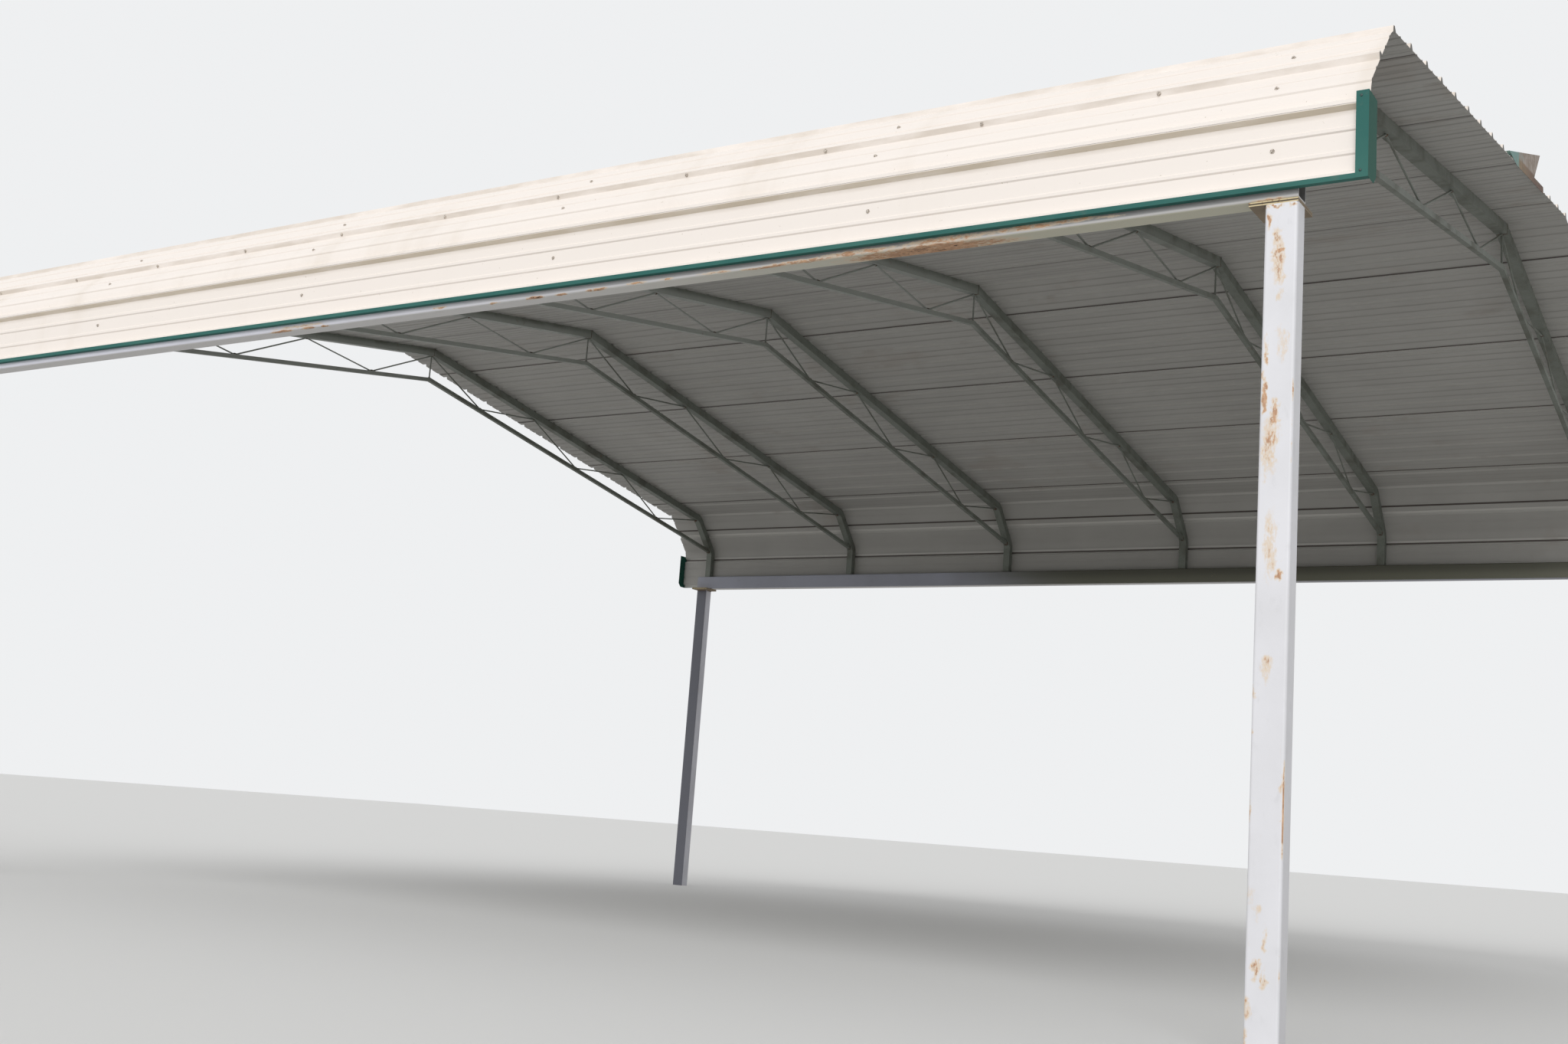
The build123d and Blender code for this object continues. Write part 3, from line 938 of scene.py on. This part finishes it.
def add_roof_screws():
    """A row of screws along each truss, one between every two ribs, and stitch screws at the eaves."""
    rows = round((wall_start + lower_corner[1] - lower_tangent - side_bottom) / rib_pitch)
    flank = haunch_rib * rib_pitch + rib_flank
    lean = atan(2 * rib_height / (rib_foot - rib_crest))
    for side, sign, seed in (("near", -1, 21), ("far", 1, 22)):
        bm = bmesh.new()
        dice = Random(seed)
        for x in truss_x:
            for row in range(rows):
                distance = (row + 0.5) * rib_pitch
                lapped = haunch_rib * rib_pitch - lap_upper_edge < distance < eave_rib * rib_pitch
                y, z, heading = roof_place(distance, sheet_skin + (lap_lift if lapped else 0.0))
                place = Vector((x + dice.uniform(-screw_wander, screw_wander), sign * y, z))
                screw(bm, place, Vector((0, sign * sin(heading), cos(heading))), dice.uniform(0, pi))
        y, z, heading = roof_place(flank, sheet_skin + lap_lift + rib_height / 2)
        normal = Vector((0, sign * sin(heading + lean), cos(heading + lean)))
        x = first_stitch
        while x > -roof_end:
            place = Vector((x + dice.uniform(-stitch_wander, stitch_wander), sign * y, z))
            screw(bm, place, normal, dice.uniform(0, pi))
            x -= stitch_pitch
        piece("roof_screws_" + side, bm, screw_paint)


add_roof_screws()

rivet_end_inset = 0.023
rivet_foot_inset = 0.022
rivet_top_inset = 0.016


def add_trim_rivets():
    """Rivets at the top and foot of each end trim."""
    bm = bmesh.new()
    for name in sorted(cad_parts):
        if name.startswith("end_trim"):
            low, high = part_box(name)
            out = 1 if name.endswith("far") else -1
            end = 1 if "open" in name else -1
            x = end * (max(abs(low.x), abs(high.x)) - rivet_end_inset)
            y = high.y if out > 0 else low.y
            for z in (low.z + rivet_foot_inset, high.z - rivet_top_inset):
                rivet(bm, Vector((x, y, z)), Vector((0, out, 0)))
    piece("trim_rivets", bm, rivet_finish("rivet_heads"))


add_trim_rivets()

# Lines of a truss: the chord's underside on the slope and on the haunch, and the tie
chord_under = ridge_top - chord_size / cos(slope)
half_chord = chord_size / 2
tie_ridge = ridge_top - tie_ridge_drop
tie_foot = beam_top + tie_foot_rise
haunch_top_y, haunch_top_z, _ = roof_place(haunch_start, -chord_size)
tie_foot_y = haunch_top_y + (haunch_top_z - tie_foot) / tan(haunch_slope)
tie_slope = (tie_ridge - tie_foot) / tie_foot_y
half_tie = tie_size / 2 / cos(atan(tie_slope))

# Sizes of the welds
bead_radius = 0.004
ridge_bead_radius = 0.003
mitre_bead_radius = 0.0018
collar_radius = rod_radius + 0.0015
collar_lift = 0.001
rod_collar = 0.0036
king_top_collar = 0.0045
king_foot_collar = 0.0040
joint_lump = 0.0085
last_joint_lump = 0.013
lump_stretch = 1.2
tie_lump_length = 0.022
tie_lump_share = 0.62
leg_bead_inset = 0.006
post_bead_inset = 0.008
beam_bead_inset = 0.004
plate_bead_offset = 0.0005
post_weld_seed = 41


def bead_across(bm, x, half, y, z, radius, dice):
    """Weld seam across a truss bar, from one of its faces to the other."""
    bead(bm, (x - half, y, z), (x + half, y, z), radius, dice)


def add_rod_welds(bm, x, sign, dice):
    """Lumps under the chord where the rods meet it, and collars on the tie."""
    last_joint = half_width - last_joint_inset
    joints = [web_panel * (i + 1) for i in range(round(last_joint / web_panel) - 1)] + [last_joint]
    down_chord = Vector((0, sign * cos(slope), -sin(slope)))
    before = 0.0
    for joint in joints:
        middle = (before + joint) / 2 - web_lean
        for top, foot in ((before, middle - rod_foot_gap / 2), (joint, middle + rod_foot_gap / 2)):
            head = Vector((x, sign * top, chord_under - pitch_ratio * top))
            end = Vector((x, sign * foot, tie_ridge - tie_slope * foot + half_tie))
            axis = (head - end).normalized()
            collar(bm, end + axis * collar_lift, axis, rod_collar, dice)
        size = last_joint_lump if joint == last_joint else joint_lump
        place = Vector((x, sign * joint, chord_under - pitch_ratio * joint))
        lump(bm, place, down_chord, lump_stretch * size, size, dice)
        before = joint


def add_foot_welds(bm, x, sign, dice):
    """Beads across the tie's end on the haunch, and round the leg's foot on the beam."""
    down_haunch = Vector((0, sign * cos(haunch_slope), -sin(haunch_slope)))
    for level in (tie_foot + half_tie, tie_foot - half_tie):
        y = haunch_top_y + (haunch_top_z - level) / tan(haunch_slope)
        bead_across(bm, x, tie_size / 2, sign * y, level, bead_radius, dice)
    tie_end = Vector((x, sign * tie_foot_y, tie_foot))
    lump(bm, tie_end, down_haunch, tie_lump_length, tie_size * tie_lump_share, dice)
    inner = sign * (half_width - chord_size)
    outer = sign * (half_width - leg_bead_inset)
    bead_across(bm, x, half_chord, inner, beam_top, bead_radius, dice)
    for edge in (x - half_chord, x + half_chord):
        bead(bm, (edge, inner, beam_top), (edge, outer, beam_top), bead_radius, dice)


def add_truss_welds():
    """Beads where the rods meet the chord and the tie, and where the ties and legs end."""
    for name, x in zip(truss_names, truss_x):
        bm = bmesh.new()
        dice = Random(name)
        for sign in (-1, 1):
            add_rod_welds(bm, x, sign, dice)
            add_foot_welds(bm, x, sign, dice)
        up = Vector((0, 0, 1))
        collar(bm, Vector((x, 0, chord_under)), up, king_top_collar, dice)
        collar(bm, Vector((x, 0, tie_high.z)), up, king_foot_collar, dice)
        bead_across(bm, x, half_chord, 0, chord_under, ridge_bead_radius, dice)
        for edge in (x - half_chord, x + half_chord):
            bead(bm, (edge, 0, chord_under), (edge, 0, ridge_top), mitre_bead_radius, dice)
        piece(name + "_welds", bm, welds)


add_truss_welds()


def add_post_welds():
    """Beads between the posts, the plates and the beams, on the sides that aren't flush."""
    bm = bmesh.new()
    dice = Random(post_weld_seed)
    under = plate_low.z - plate_bead_offset
    over = beam_low.z + plate_bead_offset
    for end in (-1, 1):
        for side in (-1, 1):
            inner_x = end * (beam_end - post_width)
            inner_y = side * (half_width - post_depth)
            outer_x = end * (beam_end - post_bead_inset)
            outer_y = side * (half_width - post_bead_inset)
            beam_x = end * (beam_end - beam_bead_inset)
            plate_x = end * (beam_end - plate_size)
            beads = (
                ((outer_x, inner_y, under), (inner_x + end * post_bead_inset, inner_y, under)),
                ((inner_x, inner_y + side * post_bead_inset, under), (inner_x, outer_y, under)),
                ((beam_x, inner_y, over), (plate_x, inner_y, over)),
            )
            for first, last in beads:
                bead(bm, first, last, bead_radius, dice)
    piece("post_welds", bm, welds)


add_post_welds()

# Floor, sky and sun: the colours that the camera sees and the light that they give
floor_reach = 120.0
floor_seen = (0.78, 0.78, 0.77)
floor_lit = (0.60, 0.595, 0.58)
sky_seen = (0.86, 0.87, 0.88)
sky_light = (0.52, 0.52, 0.52)
sun_energy = 1.83
sun_angle = 50.0
sun_from_top = 60.0
sun_turn = 12.0


def add_floor():
    """A wide pale floor that keeps the shadow."""
    mesh = bpy.data.meshes.new("floor")
    corners = [(sx * floor_reach, sy * floor_reach, 0) for sx, sy in ((-1, -1), (1, -1), (1, 1), (-1, 1))]
    mesh.from_pydata(corners, [], [(0, 1, 2, 3)])
    floor = bpy.data.objects.new("floor", mesh)
    bpy.context.scene.collection.objects.link(floor)
    f = Finish("floor")
    seen = f.add("LightPath").outputs["Is Camera Ray"]
    floor.data.materials.append(f.link(Base_Color=f.mix(seen, floor_lit, floor_seen), Roughness=0.9))


def add_light():
    """A plain pale sky and one very soft lamp from the near side."""
    world = bpy.data.worlds.new("world")
    bpy.context.scene.world = world
    world.use_nodes = True
    tree = world.node_tree
    path = tree.nodes.new("ShaderNodeLightPath")
    seen = tree.nodes.new("ShaderNodeMath")
    seen.operation = "MAXIMUM"
    tree.links.new(path.outputs["Is Camera Ray"], seen.inputs[0])
    tree.links.new(path.outputs["Is Glossy Ray"], seen.inputs[1])
    sky = tree.nodes.new("ShaderNodeMix")
    sky.data_type = "RGBA"
    tree.links.new(seen.outputs[0], sky.inputs[0])
    sky.inputs[6].default_value = (*sky_light, 1.0)
    sky.inputs[7].default_value = (*sky_seen, 1.0)
    tree.links.new(sky.outputs[2], tree.nodes["Background"].inputs["Color"])
    data = bpy.data.lights.new("sun", "SUN")
    data.energy = sun_energy
    data.angle = radians(sun_angle)
    sun = bpy.data.objects.new("sun", data)
    bpy.context.scene.collection.objects.link(sun)
    sun.rotation_euler = (radians(sun_from_top), 0.0, radians(sun_turn))


add_floor()
add_light()
bpy.context.scene.view_settings.view_transform = "Standard"
